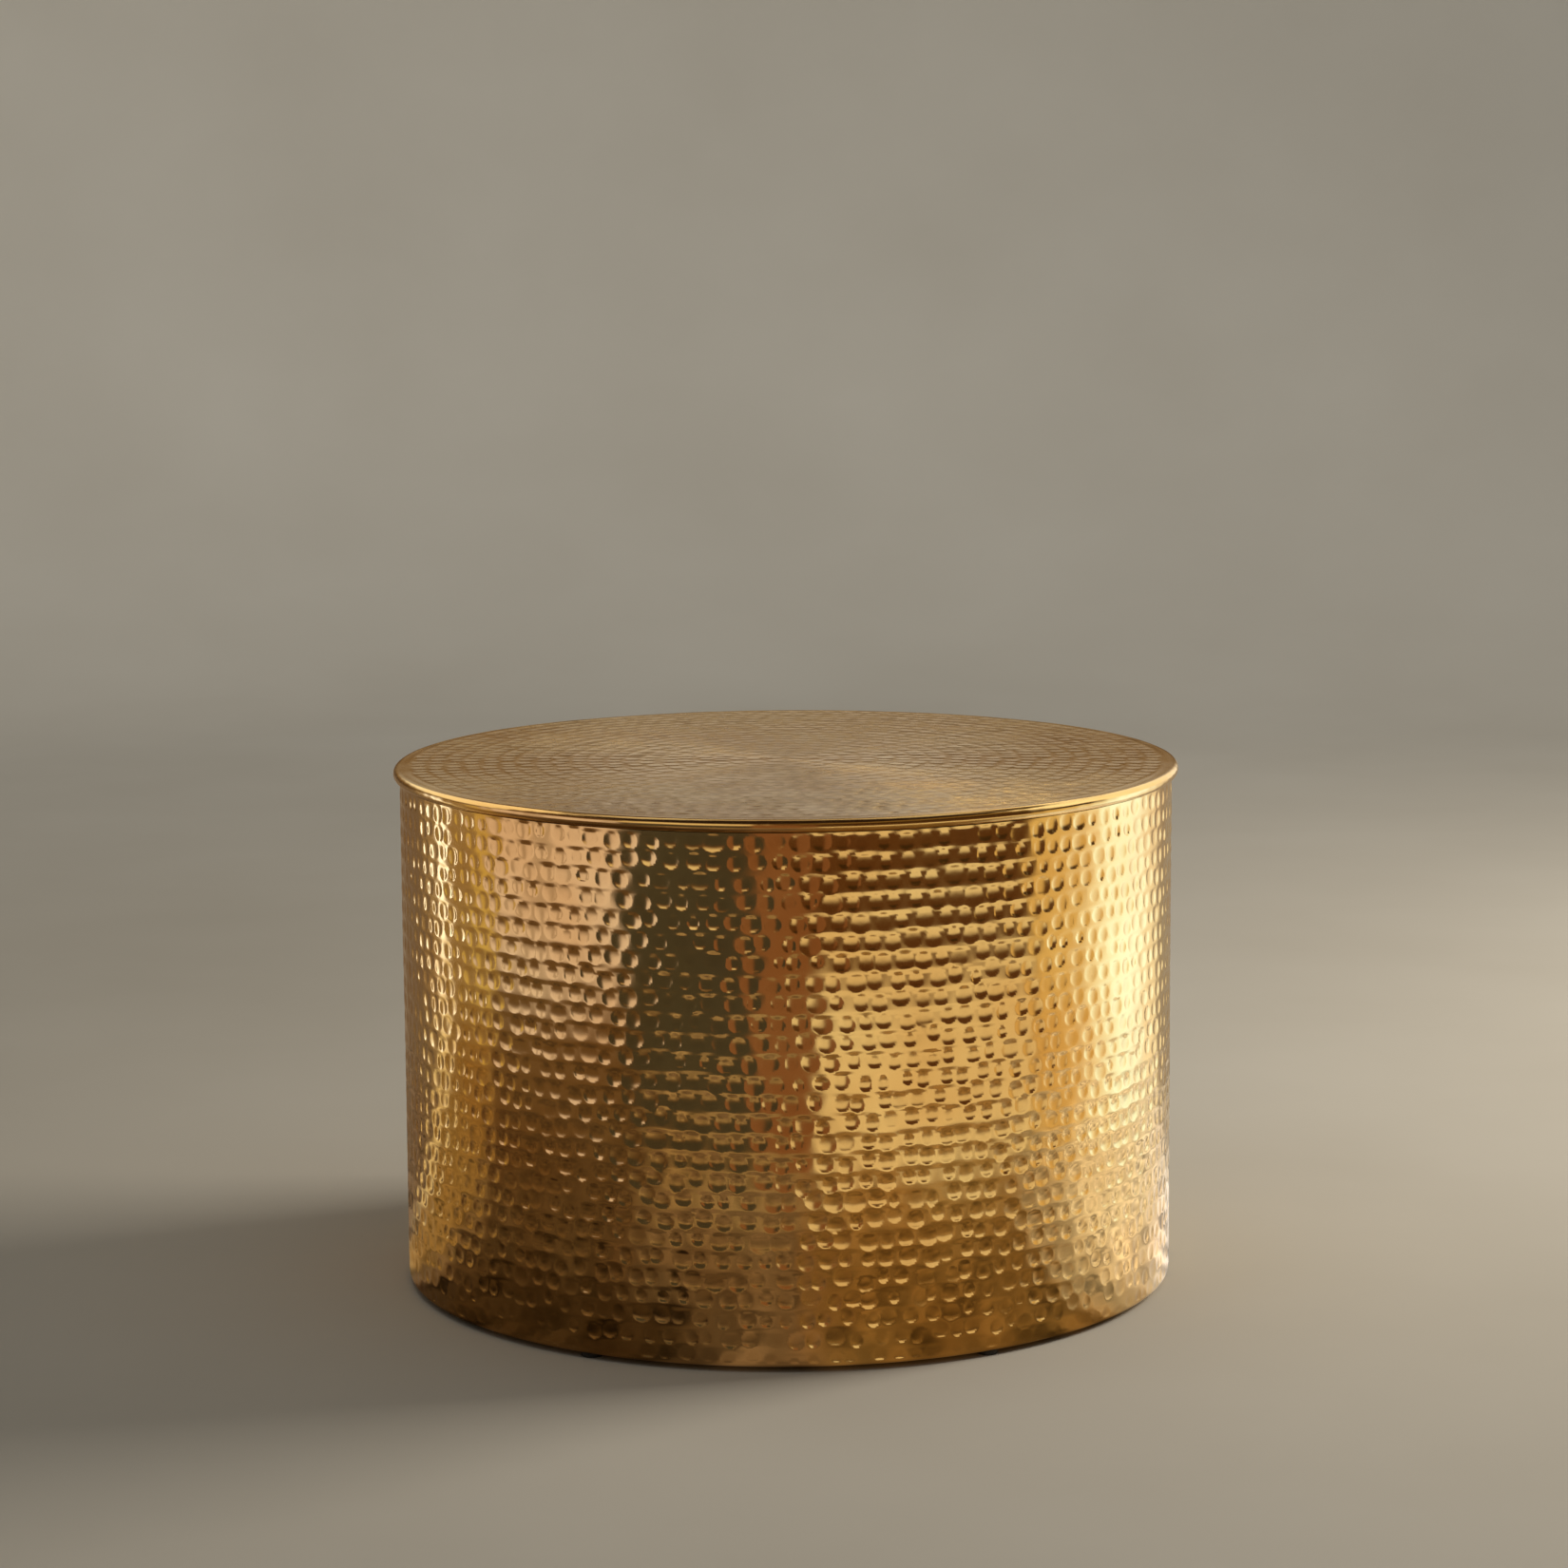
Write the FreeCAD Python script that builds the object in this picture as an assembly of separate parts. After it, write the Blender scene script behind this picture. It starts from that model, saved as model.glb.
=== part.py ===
import FreeCAD, Part
import math
import os

from FreeCAD import Vector

# Driving dimensions, in millimetres. The floor is z = 0 and the drum's axis is Z.

TABLE_HEIGHT = 398.0      # floor to the top face of the lid

# The drum: brass sheet rolled to a cylinder
DRUM_DIAMETER = 590.0     # over the outside of the sheet
DRUM_SHEET = 1.0          # thickness of the sheet
SEAM_GAP = 0.4            # upright butt seam at the back, filled with solder
FLANGE_BEND_INSIDE = 1.0  # inside radius where the bottom edge turns inwards

# The strap soldered inside, behind the seam
STRAP_WIDTH = 30.0
STRAP_SHEET = 1.0
STRAP_END_GAP = 3.0       # left free above the base board and below the top ring
SOLDER_GAP = 0.2          # solder film between curved faces

# The lid: brass sheet with its edge rolled round a wire, on a plywood disc
LID_SHEET = 1.0
WIRE_DIAMETER = 6.5
WIRE_GAP = 0.4            # between the wire and the sheet rolled round it
CURL_STOP = 2.0           # the rolled edge ends this far below the sheet's underside
LID_BOARD = 18.0          # thickness of the disc
LID_BOARD_CHAMFER = 2.0   # on its lower edge, to lead it into the mouth of the drum
BOARD_EDGE_GAP = 0.3      # between the disc's edge and the rolled rim
LID_PLAY = 3.6            # round the disc in the mouth of the drum
RIM_GAP = 0.7             # height between the rolled rim and the drum's top edge

# The top ring: steel angle bent to a hoop, one leg down the wall and one leg as a ledge
RING_LEG = 20.0           # height of the leg on the wall
RING_THICKNESS = 3.0

# Felt pads on the ledge
PAD_COUNT = 6
PAD_DIAMETER = 14.0
PAD_THICKNESS = 2.0
PAD_MARGIN = 3.0          # ledge left bare on both sides of a pad

# The plywood base board on the bottom flange
BASE_BOARD = 12.0
BASE_EDGE_GAP = 0.5       # between the board's edge and the drum wall

# Glides under the flange, each held by one pan-head wood screw
GLIDE_COUNT = 6
GLIDE_WEB = 1.4           # nylon left above the screw's head
GLIDE_WALL = 3.5          # nylon left round the screw's head
GLIDE_MARGIN = 2.0        # flange left bare on both sides of a glide
GLIDE_EDGE = 0.6          # chamfer round the foot
SCREW_DIAMETER = 4.0
SCREW_POINT = 3.0         # length of the conical point
SCREW_COVER = 2.4         # board left whole above the point
HEAD_DIAMETER = 8.0
HEAD_HEIGHT = 2.2
HEAD_ROUND = 0.8          # radius round the head's face
HEAD_RECESS = 0.4         # the head lies this far above the floor
HEAD_GAP = 0.5            # round the head in its counterbore
SHANK_GAP = 0.3           # round the shank in glide and flange
THREAD_GAP = 0.1          # round the shank in the board, and above its point
DRIVE_SPAN = 4.4          # cross recess in the head: length, width and depth of one slot
DRIVE_WIDTH = 1.0
DRIVE_DEPTH = 1.1

BACK_ANGLE = 90.0         # direction of the seam, in degrees from +X towards +Y

# Heights and radii that follow from the sizes above

drum_radius = DRUM_DIAMETER / 2
mouth_radius = drum_radius - DRUM_SHEET
lid_board_radius = mouth_radius - LID_PLAY
curl_inside = WIRE_DIAMETER / 2 + WIRE_GAP
curl_outside = curl_inside + LID_SHEET
curl_radius = lid_board_radius + BOARD_EDGE_GAP + curl_outside
curl_height = TABLE_HEIGHT - curl_outside
lid_underside = TABLE_HEIGHT - LID_SHEET
lid_board_bottom = lid_underside - LID_BOARD
ledge_height = lid_board_bottom - PAD_THICKNESS
ledge_width = PAD_DIAMETER + 2 * PAD_MARGIN
ring_radius = mouth_radius - SOLDER_GAP
ring_bottom = ledge_height - RING_LEG
drum_top = curl_height - curl_outside - RIM_GAP

glide_radius = HEAD_DIAMETER / 2 + HEAD_GAP + GLIDE_WALL
glide_height = HEAD_RECESS + HEAD_HEIGHT + GLIDE_WEB
flange_width = 2 * (glide_radius + GLIDE_MARGIN)
glide_circle = drum_radius - flange_width / 2
base_bottom = glide_height + DRUM_SHEET
base_top = base_bottom + BASE_BOARD
head_seat = HEAD_RECESS + HEAD_HEIGHT
screw_tip = base_top - SCREW_COVER
shank_radius = SCREW_DIAMETER / 2


def at(radius, height):
    """Point of a profile: radius from the axis and height above the floor."""
    return Vector(radius, 0, height)


def line(start, end):
    return Part.LineSegment(start, end).toShape()


def arc(centre, radius, first, last):
    """Arc of a profile about centre, between two directions in degrees from +X towards +Z."""

    def on_circle(degrees):
        turn = math.radians(degrees)
        return centre + Vector(radius * math.cos(turn), 0, radius * math.sin(turn))

    return Part.Arc(on_circle(first), on_circle((first + last) / 2), on_circle(last)).toShape()


def turned(edges, degrees=360.0, start=0.0):
    """Solid swept by a closed profile turning about Z, from the direction start."""
    profile = Part.Face(Part.Wire(edges))
    solid = profile.revolve(Vector(0, 0, 0), Vector(0, 0, 1), degrees)
    solid.rotate(Vector(0, 0, 0), Vector(0, 0, 1), start)
    return solid


def turned_outline(points, degrees=360.0, start=0.0):
    """The same, for a profile of straight lines through points."""
    edges = [line(a, b) for a, b in zip(points, points[1:] + points[:1])]
    return turned(edges, degrees, start)


def cylinder(radius, bottom, top):
    return Part.makeCylinder(radius, top - bottom, Vector(0, 0, bottom))


def placed(shape, radius, degrees):
    """Copy of a shape made on the Z axis, moved out to a radius in a direction."""
    turn = math.radians(degrees)
    copy = shape.copy()
    copy.rotate(Vector(0, 0, 0), Vector(0, 0, 1), degrees)
    copy.translate(Vector(radius * math.cos(turn), radius * math.sin(turn), 0))
    return copy


def directions(count):
    """Even directions round the table, in degrees, the first one half a step past the back."""
    return [(index + 0.5) * 360.0 / count + BACK_ANGLE for index in range(count)]


def drum_shell():
    """Upright wall with its bottom edge turned inwards, open by the seam, drilled for the glide screws."""
    inside = FLANGE_BEND_INSIDE
    outside = inside + DRUM_SHEET
    flange_edge = drum_radius - flange_width
    bend = at(drum_radius - outside, glide_height + outside)
    edges = [
        line(at(flange_edge, glide_height), at(bend.x, glide_height)),
        arc(bend, outside, -90, 0),
        line(at(drum_radius, bend.z), at(drum_radius, drum_top)),
        line(at(drum_radius, drum_top), at(mouth_radius, drum_top)),
        line(at(mouth_radius, drum_top), at(mouth_radius, bend.z)),
        arc(bend, inside, 0, -90),
        line(at(bend.x, base_bottom), at(flange_edge, base_bottom)),
        line(at(flange_edge, base_bottom), at(flange_edge, glide_height)),
    ]
    seam_degrees = math.degrees(SEAM_GAP / drum_radius)
    shell = turned(edges, 360.0 - seam_degrees, BACK_ANGLE + seam_degrees / 2)
    hole = cylinder(shank_radius + SHANK_GAP, glide_height - DRUM_SHEET, base_bottom + DRUM_SHEET)
    return shell.cut([placed(hole, glide_circle, turn) for turn in directions(GLIDE_COUNT)])


def seam_strap():
    """Strip of sheet that follows the inside of the wall across the seam."""
    outer = mouth_radius - SOLDER_GAP
    inner = outer - STRAP_SHEET
    low = base_top + STRAP_END_GAP
    high = ring_bottom - STRAP_END_GAP
    width_degrees = math.degrees(STRAP_WIDTH / outer)
    points = [at(inner, low), at(outer, low), at(outer, high), at(inner, high)]
    return turned_outline(points, width_degrees, BACK_ANGLE - width_degrees / 2)


def top_ring():
    """Angle hoop: one leg down the wall, the other inwards at the top as the lid's ledge."""
    ledge_edge = ring_radius - ledge_width
    leg_face = ring_radius - RING_THICKNESS
    ledge_bottom = ledge_height - RING_THICKNESS
    points = [
        at(ring_radius, ring_bottom),
        at(ring_radius, ledge_height),
        at(ledge_edge, ledge_height),
        at(ledge_edge, ledge_bottom),
        at(leg_face, ledge_bottom),
        at(leg_face, ring_bottom),
    ]
    return turned_outline(points)


def lid_pads():
    """Round felt pads in the middle of the ledge."""
    pad = cylinder(PAD_DIAMETER / 2, ledge_height, lid_board_bottom)
    pad_circle = ring_radius - ledge_width / 2
    return [placed(pad, pad_circle, turn) for turn in directions(PAD_COUNT)]


def base_board():
    """Plywood disc on the flange, with a blind pilot hole for each screw."""
    board_radius = mouth_radius - BASE_EDGE_GAP
    # The lower edge is eased to clear the inside of the flange's bend.
    ease = FLANGE_BEND_INSIDE
    points = [
        at(0, base_bottom),
        at(board_radius - ease, base_bottom),
        at(board_radius, base_bottom + ease),
        at(board_radius, base_top),
        at(0, base_top),
    ]
    pilot = cylinder(shank_radius + THREAD_GAP, base_bottom - DRUM_SHEET, screw_tip + THREAD_GAP)
    return turned_outline(points).cut([placed(pilot, glide_circle, turn) for turn in directions(GLIDE_COUNT)])


def glides():
    """Nylon feet: a disc with a counterbore that hides the screw's head."""
    points = [
        at(0, 0),
        at(glide_radius - GLIDE_EDGE, 0),
        at(glide_radius, GLIDE_EDGE),
        at(glide_radius, glide_height),
        at(0, glide_height),
    ]
    counterbore = cylinder(HEAD_DIAMETER / 2 + HEAD_GAP, -HEAD_RECESS, head_seat)
    shank_hole = cylinder(shank_radius + SHANK_GAP, 0, glide_height + GLIDE_WEB)
    foot = turned_outline(points).cut([counterbore, shank_hole])
    return [placed(foot, glide_circle, turn) for turn in directions(GLIDE_COUNT)]


def glide_screws():
    """Pan-head screws: rounded head with a cross recess, plain shank, conical point."""
    face = HEAD_RECESS
    head_radius = HEAD_DIAMETER / 2
    edges = [
        line(at(0, face), at(head_radius - HEAD_ROUND, face)),
        arc(at(head_radius - HEAD_ROUND, face + HEAD_ROUND), HEAD_ROUND, -90, 0),
        line(at(head_radius, face + HEAD_ROUND), at(head_radius, head_seat)),
        line(at(head_radius, head_seat), at(shank_radius, head_seat)),
        line(at(shank_radius, head_seat), at(shank_radius, screw_tip - SCREW_POINT)),
        line(at(shank_radius, screw_tip - SCREW_POINT), at(0, screw_tip)),
        line(at(0, screw_tip), at(0, face)),
    ]
    slot_corner = Vector(-DRIVE_SPAN / 2, -DRIVE_WIDTH / 2, face)
    slot = Part.makeBox(DRIVE_SPAN, DRIVE_WIDTH, DRIVE_DEPTH, slot_corner)
    cross_slot = slot.copy()
    cross_slot.rotate(Vector(0, 0, 0), Vector(0, 0, 1), 90)
    screw = turned(edges).cut([slot, cross_slot])
    return Part.makeCompound([placed(screw, glide_circle, turn) for turn in directions(GLIDE_COUNT)])


def lid_sheet():
    """Flat disc whose edge is rolled outwards, down and under round the rim wire."""
    centre = at(curl_radius, curl_height)
    end = 180.0 - math.degrees(math.asin((curl_inside - CURL_STOP) / curl_outside))
    # Measured downwards from the top of the roll, the rolled edge ends past the inner side.
    last = end - 360.0
    outer_arc = arc(centre, curl_outside, 90, last)
    inner_arc = arc(centre, curl_inside, last, 90)
    edges = [
        line(at(0, lid_underside), at(0, TABLE_HEIGHT)),
        line(at(0, TABLE_HEIGHT), at(curl_radius, TABLE_HEIGHT)),
        outer_arc,
        line(outer_arc.Vertexes[-1].Point, inner_arc.Vertexes[0].Point),
        inner_arc,
        line(at(curl_radius, lid_underside), at(0, lid_underside)),
    ]
    return turned(edges)


def rim_wire():
    """Round steel wire bent to a hoop inside the rolled edge."""
    return Part.makeTorus(curl_radius, WIRE_DIAMETER / 2, Vector(0, 0, curl_height))


def lid_board():
    """Plywood disc glued under the lid sheet, chamfered where it enters the mouth."""
    points = [
        at(0, lid_board_bottom),
        at(lid_board_radius - LID_BOARD_CHAMFER, lid_board_bottom),
        at(lid_board_radius, lid_board_bottom + LID_BOARD_CHAMFER),
        at(lid_board_radius, lid_underside),
        at(0, lid_underside),
    ]
    return turned_outline(points)


def numbered(name, shapes):
    return {f"{name}_{index}": shape for index, shape in enumerate(shapes, start=1)}


nodes = {
    "drum_shell": drum_shell(),
    "seam_strap": seam_strap(),
    "top_ring": top_ring(),
    **numbered("lid_pad", lid_pads()),
    "base_board": base_board(),
    **numbered("glide", glides()),
    "glide_screws": glide_screws(),
    "lid_sheet": lid_sheet(),
    "rim_wire": rim_wire(),
    "lid_board": lid_board(),
}

os.makedirs("parts", exist_ok=True)
for node, shape in nodes.items():
    shape.exportStep(f"parts/{node}.step")
    print(node, "solids", len(shape.Solids), "valid", shape.isValid(), "volume", round(shape.Volume, 1))
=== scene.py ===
# %% [markdown]
# Hammered brass drum table.
# The table is a drum of thin sheet brass with a loose round lid. Every visible face of the brass has
# been struck with a round-faced hammer: in level rows on the drum, and in rings on the lid. The packed
# CAD model gives the plain sheet, the boards, the steel ring and the feet. This lesson dresses it: it
# strikes the dents into new sheets, gives every part its material, and sets up the floor, the light
# and the camera.

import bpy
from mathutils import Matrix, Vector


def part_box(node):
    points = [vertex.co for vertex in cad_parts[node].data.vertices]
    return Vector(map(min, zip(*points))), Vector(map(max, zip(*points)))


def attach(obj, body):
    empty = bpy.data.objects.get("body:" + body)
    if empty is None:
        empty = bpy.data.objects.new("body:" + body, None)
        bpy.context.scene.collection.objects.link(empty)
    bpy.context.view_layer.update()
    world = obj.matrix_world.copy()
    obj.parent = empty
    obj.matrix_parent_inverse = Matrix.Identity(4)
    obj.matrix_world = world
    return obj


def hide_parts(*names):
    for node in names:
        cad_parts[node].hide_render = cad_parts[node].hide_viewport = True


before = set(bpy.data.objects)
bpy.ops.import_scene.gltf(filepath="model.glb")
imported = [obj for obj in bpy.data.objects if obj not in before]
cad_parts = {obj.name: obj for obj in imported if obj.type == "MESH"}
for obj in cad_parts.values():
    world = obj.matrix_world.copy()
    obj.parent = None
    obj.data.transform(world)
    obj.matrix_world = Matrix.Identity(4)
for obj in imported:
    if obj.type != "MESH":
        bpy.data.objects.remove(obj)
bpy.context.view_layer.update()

# %% Tools of the lesson
import math

import bpy
import numpy as np
from mathutils import Matrix

MM = 0.001
SEED = 27
rng = np.random.default_rng(SEED)
scene = bpy.context.scene
scene.view_settings.view_transform = "Standard"
print("random numbers from seed", SEED)

# %% [markdown]
# The sizes come from the CAD nodes, so that the dressed sheets lie exactly where the plain ones were.
# The drum wall is a 1 mm sheet. The lid's edge is rolled round a wire, and the height of that roll is
# the height of the lid sheet's own box.

# %% Measure the CAD sheets
wall_low, wall_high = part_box("drum_shell")
lid_low, lid_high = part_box("lid_sheet")
DRUM_RADIUS = wall_high.x
WALL_TOP = wall_high.z
WALL_FOOT = wall_low.z
SHEET = 1.0 * MM
LID_TOP = lid_high.z
BOARD_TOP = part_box("lid_board")[1].z
ROLL_RADIUS = (lid_high.z - lid_low.z) / 2
ROLL_CENTRE = lid_high.x - ROLL_RADIUS
ROLL_HEIGHT = lid_high.z - ROLL_RADIUS
print(f"drum radius {DRUM_RADIUS / MM:.1f} mm, wall from {WALL_FOOT / MM:.1f} to {WALL_TOP / MM:.1f} mm")
print(f"rolled rim {2 * ROLL_RADIUS / MM:.2f} mm thick on a circle of radius {ROLL_CENTRE / MM:.2f} mm")

# %% [markdown]
# The camera stands where the photograph was taken from: a little over three metres in front, with a
# long lens, looking down by a few degrees. It could be aimed with a constraint, but a matrix from three
# angles is exact and leaves nothing to evaluate.

# %% Place the camera
LENS = 93.16
SENSOR = 36.0
CAMERA_PLACE = (0.0010, -3.0827, 0.8356)
PITCH, YAW, ROLL = (math.radians(a) for a in (8.4255, -0.0436, -0.402))

forward = np.array([
    math.sin(YAW) * math.cos(PITCH), math.cos(YAW) * math.cos(PITCH), -math.sin(PITCH)])
level = np.array([math.cos(YAW), -math.sin(YAW), 0.0])
upward = np.cross(level, forward)
right = math.cos(ROLL) * level + math.sin(ROLL) * upward
top = np.cross(right, forward)
lens = bpy.data.cameras.new("photo_lens")
lens.lens = LENS
lens.sensor_width = SENSOR
camera = bpy.data.objects.new("photo_camera", lens)
turn = np.eye(4)
turn[:3] = np.stack([right, top, -forward, CAMERA_PLACE], -1)
camera.matrix_world = Matrix(turn.tolist())
scene.collection.objects.link(camera)
scene.camera = camera
print("camera at", CAMERA_PLACE, "looking along", forward.round(3))

# %% [markdown]
# All new sheets are grids of points. This helper turns a list of points and a list of faces into a
# mesh, smooth except at real corners. Where a sheet's true surface direction is known from its formula,
# those directions are handed over too: a polished dent is judged by what it mirrors, and the formula's
# directions mirror cleanly even where the grid is coarser than the dent's lip, and across the joint
# between two neighbouring grids.

# %% Mesh helpers
CORNER = math.radians(40)


def make_piece(name, points, quads, caps=(), directions=None, facing=0):
    """A mesh from points (n, 3), four-cornered faces (m, 4) and caps, each a loop of point numbers.
    The first `facing` quads take their corner directions from `directions`, one per point."""
    loops = np.concatenate([np.asarray(quads).ravel(), *caps]).astype(np.int32)
    sizes = np.array([4] * len(quads) + [len(c) for c in caps], np.int32)
    starts = np.concatenate([[0], np.cumsum(sizes)[:-1]]).astype(np.int32)
    mesh = bpy.data.meshes.new(name)
    mesh.vertices.add(len(points))
    mesh.vertices.foreach_set("co", np.asarray(points, np.float32).ravel())
    mesh.loops.add(len(loops))
    mesh.loops.foreach_set("vertex_index", loops)
    mesh.polygons.add(len(sizes))
    mesh.polygons.foreach_set("loop_start", starts)
    mesh.update(calc_edges=True)
    mesh.polygons.foreach_set("use_smooth", np.ones(len(sizes), bool))
    mesh.set_sharp_from_angle(angle=CORNER)
    if directions is not None:
        corners = np.empty(len(loops) * 3, np.float32)
        mesh.corner_normals.foreach_get("vector", corners)
        corners = corners.reshape(-1, 3)
        corners[: facing * 4] = directions[loops[: facing * 4]]
        mesh.normals_split_custom_set(corners.tolist())
    piece = bpy.data.objects.new(name, mesh)
    scene.collection.objects.link(piece)
    return piece


def grid_quads(rows, columns, closed_rows=False, closed_columns=False):
    """Faces of a grid whose points are numbered row by row. Each goes round as its point, the one in the
    next row, the one beside that, and the one beside its point."""
    down = np.arange(rows if closed_rows else rows - 1)[:, None]
    along = np.arange(columns if closed_columns else columns - 1)[None, :]
    here, below = down * columns, (down + 1) % rows * columns
    beside = (along + 1) % columns
    corners = (here + along, below + along, below + beside, here + beside)
    return np.stack(np.broadcast_arrays(*corners), -1).reshape(-1, 4)


print(f"edges sharper than {math.degrees(CORNER):.0f} degrees stay sharp")

# %% [markdown]
# One blow of the hammer leaves a shallow round bowl about 11 mm across and up to half a millimetre
# deep, rounded in the middle and steepest at its lip. The hammer comes down at a slant, so the lower lip
# is the steeper one, and the metal it pushes away stands up as a soft ridge just below. The smith works
# along a line, so bowls and ridges stand in rows, each blow a little off its mark. A displacement
# texture could draw such bowls, but here each blow has its own place in a table of random numbers, and
# the sheet looks up only the nine blows nearest to a point. One function serves the drum, whose rows are
# level circles, and the lid, whose rows are rings.

# %% Hammer blows
ROW_PITCH = 14.3 * MM
BLOW_PITCH = 15.1 * MM
BLOW_RADIUS = 5.7 * MM
AIM_ACROSS = 0.85 * MM
AIM_ALONG = 1.4 * AIM_ACROSS
AIM_TIRES = (0.9, 1.8)
ARM_TIRES = (1.1, 0.78)


def about_one(spread, low, high, shape):
    """Random factors round 1 with this spread, cut off at low and high."""
    return np.clip(rng.normal(1, spread, shape), low, high)


def strike_rows(places, radii, blow_depth, groove_depth):
    """Blows in rows. Row i lies at places[i] on a circle of radii[i]; each blow misses its mark by a
    random step along and across the row and has its own radius, depth, length and share of the row's
    groove. The arm tires: towards the last row the blows stray further and fall more lightly."""
    count = np.maximum(1, np.rint(2 * np.pi * radii / BLOW_PITCH)).astype(int)
    shape = (len(places), count.max())
    tiring = np.linspace(*AIM_TIRES, len(places))[:, None]
    easing = np.linspace(*ARM_TIRES, len(places))[:, None]
    return {
        "place": places,
        "circle": radii,
        "count": count,
        "phase": rng.uniform(0, 1, len(places)),
        "along": rng.normal(0, AIM_ALONG, shape) * tiring,
        "across": rng.normal(0, AIM_ACROSS, shape) * tiring,
        "reach": BLOW_RADIUS * about_one(0.12, 0.7, 1.3, shape),
        "depth": blow_depth * about_one(0.22, 0.45, 1.4, shape) * easing,
        "stretch": about_one(0.10, 0.8, 1.25, shape),
        "sink": groove_depth * about_one(0.25, 0.4, 1.4, shape) * easing**2,
    }


print(f"a blow is {2 * BLOW_RADIUS / MM:.1f} mm across, and blows stand {BLOW_PITCH / MM:.1f} mm apart")

# %% [markdown]
# The sheet's shape under those blows is worked out for whole arrays of points at once. For each point
# the loop visits three blows in each of three rows. A bowl has a round floor and a softened lip; the
# groove along the row is a slow climb and a quick fall, so that a ridge stands below every blow.

# %% Depth of the struck sheet
BOWL_STEEPNESS = 2.4
LIP = 0.18
LEAN = 0.4
RIDGE = 0.43
FALL = 0.24
CREST = 0.1
GROOVE_ENDS = 2.4


def struck_depth(blows, angle, place):
    """How far the hammer drove the sheet in, and how deep in a bowl the point lies from 0 to 1.
    A bowl is 1 - q to the power of its steepness with a softened lip, where q is the distance from the
    blow over its radius, and it leans: it is deeper below than above. Of overlapping bowls the deepest
    holds. Round each blow the sheet also sinks: slowly upwards from the ridge below it, then quickly
    back to the next ridge, with both turns rounded, and as a bell curve along the row."""
    pitch = blows["place"][1] - blows["place"][0]
    row = np.rint((place - blows["place"][0]) / pitch).astype(int)
    last = len(blows["place"]) - 1
    depth = np.zeros_like(place)
    share = np.zeros_like(place)
    groove = np.zeros_like(place)
    for next_row in (-1, 0, 1):
        i = np.clip(row + next_row, 0, last)
        turn_share = angle / (2 * np.pi) * blows["count"][i]
        nearest = np.rint(turn_share - blows["phase"][i]).astype(int)
        step = 2 * np.pi * blows["circle"][i] / blows["count"][i]
        off_row = place - blows["place"][i]
        for next_blow in (-1, 0, 1):
            j = (nearest + next_blow) % blows["count"][i]
            off_mark = (turn_share - blows["phase"][i] - nearest - next_blow) * step
            along = (off_mark - blows["along"][i, j]) / blows["stretch"][i, j]
            across = off_row - blows["across"][i, j]
            reach = blows["reach"][i, j]
            inside = 1 - ((along**2 + across**2) / reach**2) ** (BOWL_STEEPNESS / 2)
            bowl = 0.5 * (inside + np.sqrt(inside**2 + LIP**2))
            leaning = 1 - LEAN * np.clip(across / reach, -1, 1)
            depth = np.maximum(depth, blows["depth"][i, j] * bowl * leaning)
            share = np.maximum(share, bowl)
            near = np.exp(-((along / step) ** 2) * GROOVE_ENDS)
            climb = np.clip(across / abs(pitch) + RIDGE, 0, 1)
            slow, quick = climb / (1 - FALL), (1 - climb) / FALL
            ramp = np.maximum(0.5 * (slow + quick - np.hypot(slow - quick, 1.5 * CREST)), 0)
            sunk = np.hypot(ramp, CREST) - CREST
            groove = np.maximum(groove, blows["sink"][i, j] * near * sunk)
    return depth + groove, share


print(f"the ridge stands {RIDGE:.2f} of a row below the blows")

# %% [markdown]
# Struck sheet is never quite round: between the rows it swells and dips by a fraction of a millimetre
# over a hand's breadth. A sum of a few slow waves round and up the drum gives that, with whole numbers
# of waves round so that the seam closes.

# %% Slow waves of the wall
WAVE_ROUND = np.array([5, 9, 16, 23, 31, 43])
WAVE_HEIGHT = np.array([0.10, 0.09, 0.08, 0.07, 0.06, 0.05]) * MM
STEEPEST_RISE = 26
wave_turn = rng.uniform(0, 2 * np.pi, len(WAVE_ROUND))
wave_rise = rng.uniform(-STEEPEST_RISE, STEEPEST_RISE, len(WAVE_ROUND))


def wall_wave(angle, height):
    """Sum of waves: each is its height times the cosine of its number of turns, its rise and its start."""
    phase = WAVE_ROUND * angle[..., None] + wave_rise * height[..., None] + wave_turn
    return (WAVE_HEIGHT * np.cos(phase)).sum(-1)


print(f"{len(WAVE_ROUND)} waves, together at most {WAVE_HEIGHT.sum() / MM:.2f} mm")

# %% [markdown]
# The drum wall is one struck sheet, bent round and butted at the back, with its foot turned in as a
# flange. A cylinder with a displacement modifier would need millions of faces, because a dent has to be
# well resolved wherever it falls. Here the radius is a formula of direction and height, worked out on a
# grid of about 1.4 mm.

# %% Rows of the drum
FIRST_ROW = 381.0 * MM
ROWS = 27
DRUM_BOWL = 0.50 * MM
DRUM_GROOVE = 0.38 * MM
SWELL = 0.30 * MM
DEEPEST = 1.05 * MM
FOOT_BEND = 2.0 * MM
FULLY_STRUCK = WALL_FOOT + 2.5 * FOOT_BEND
row_heights = FIRST_ROW - ROW_PITCH * np.arange(ROWS)
drum_blows = strike_rows(row_heights, np.full(ROWS, DRUM_RADIUS), DRUM_BOWL, DRUM_GROOVE)


def smooth_step(x, start, end):
    """0 up to start, 1 from end, and an S curve of 3t^2 - 2t^3 between them."""
    t = np.clip((x - start) / (end - start), 0, 1)
    return t * t * (3 - 2 * t)


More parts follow.
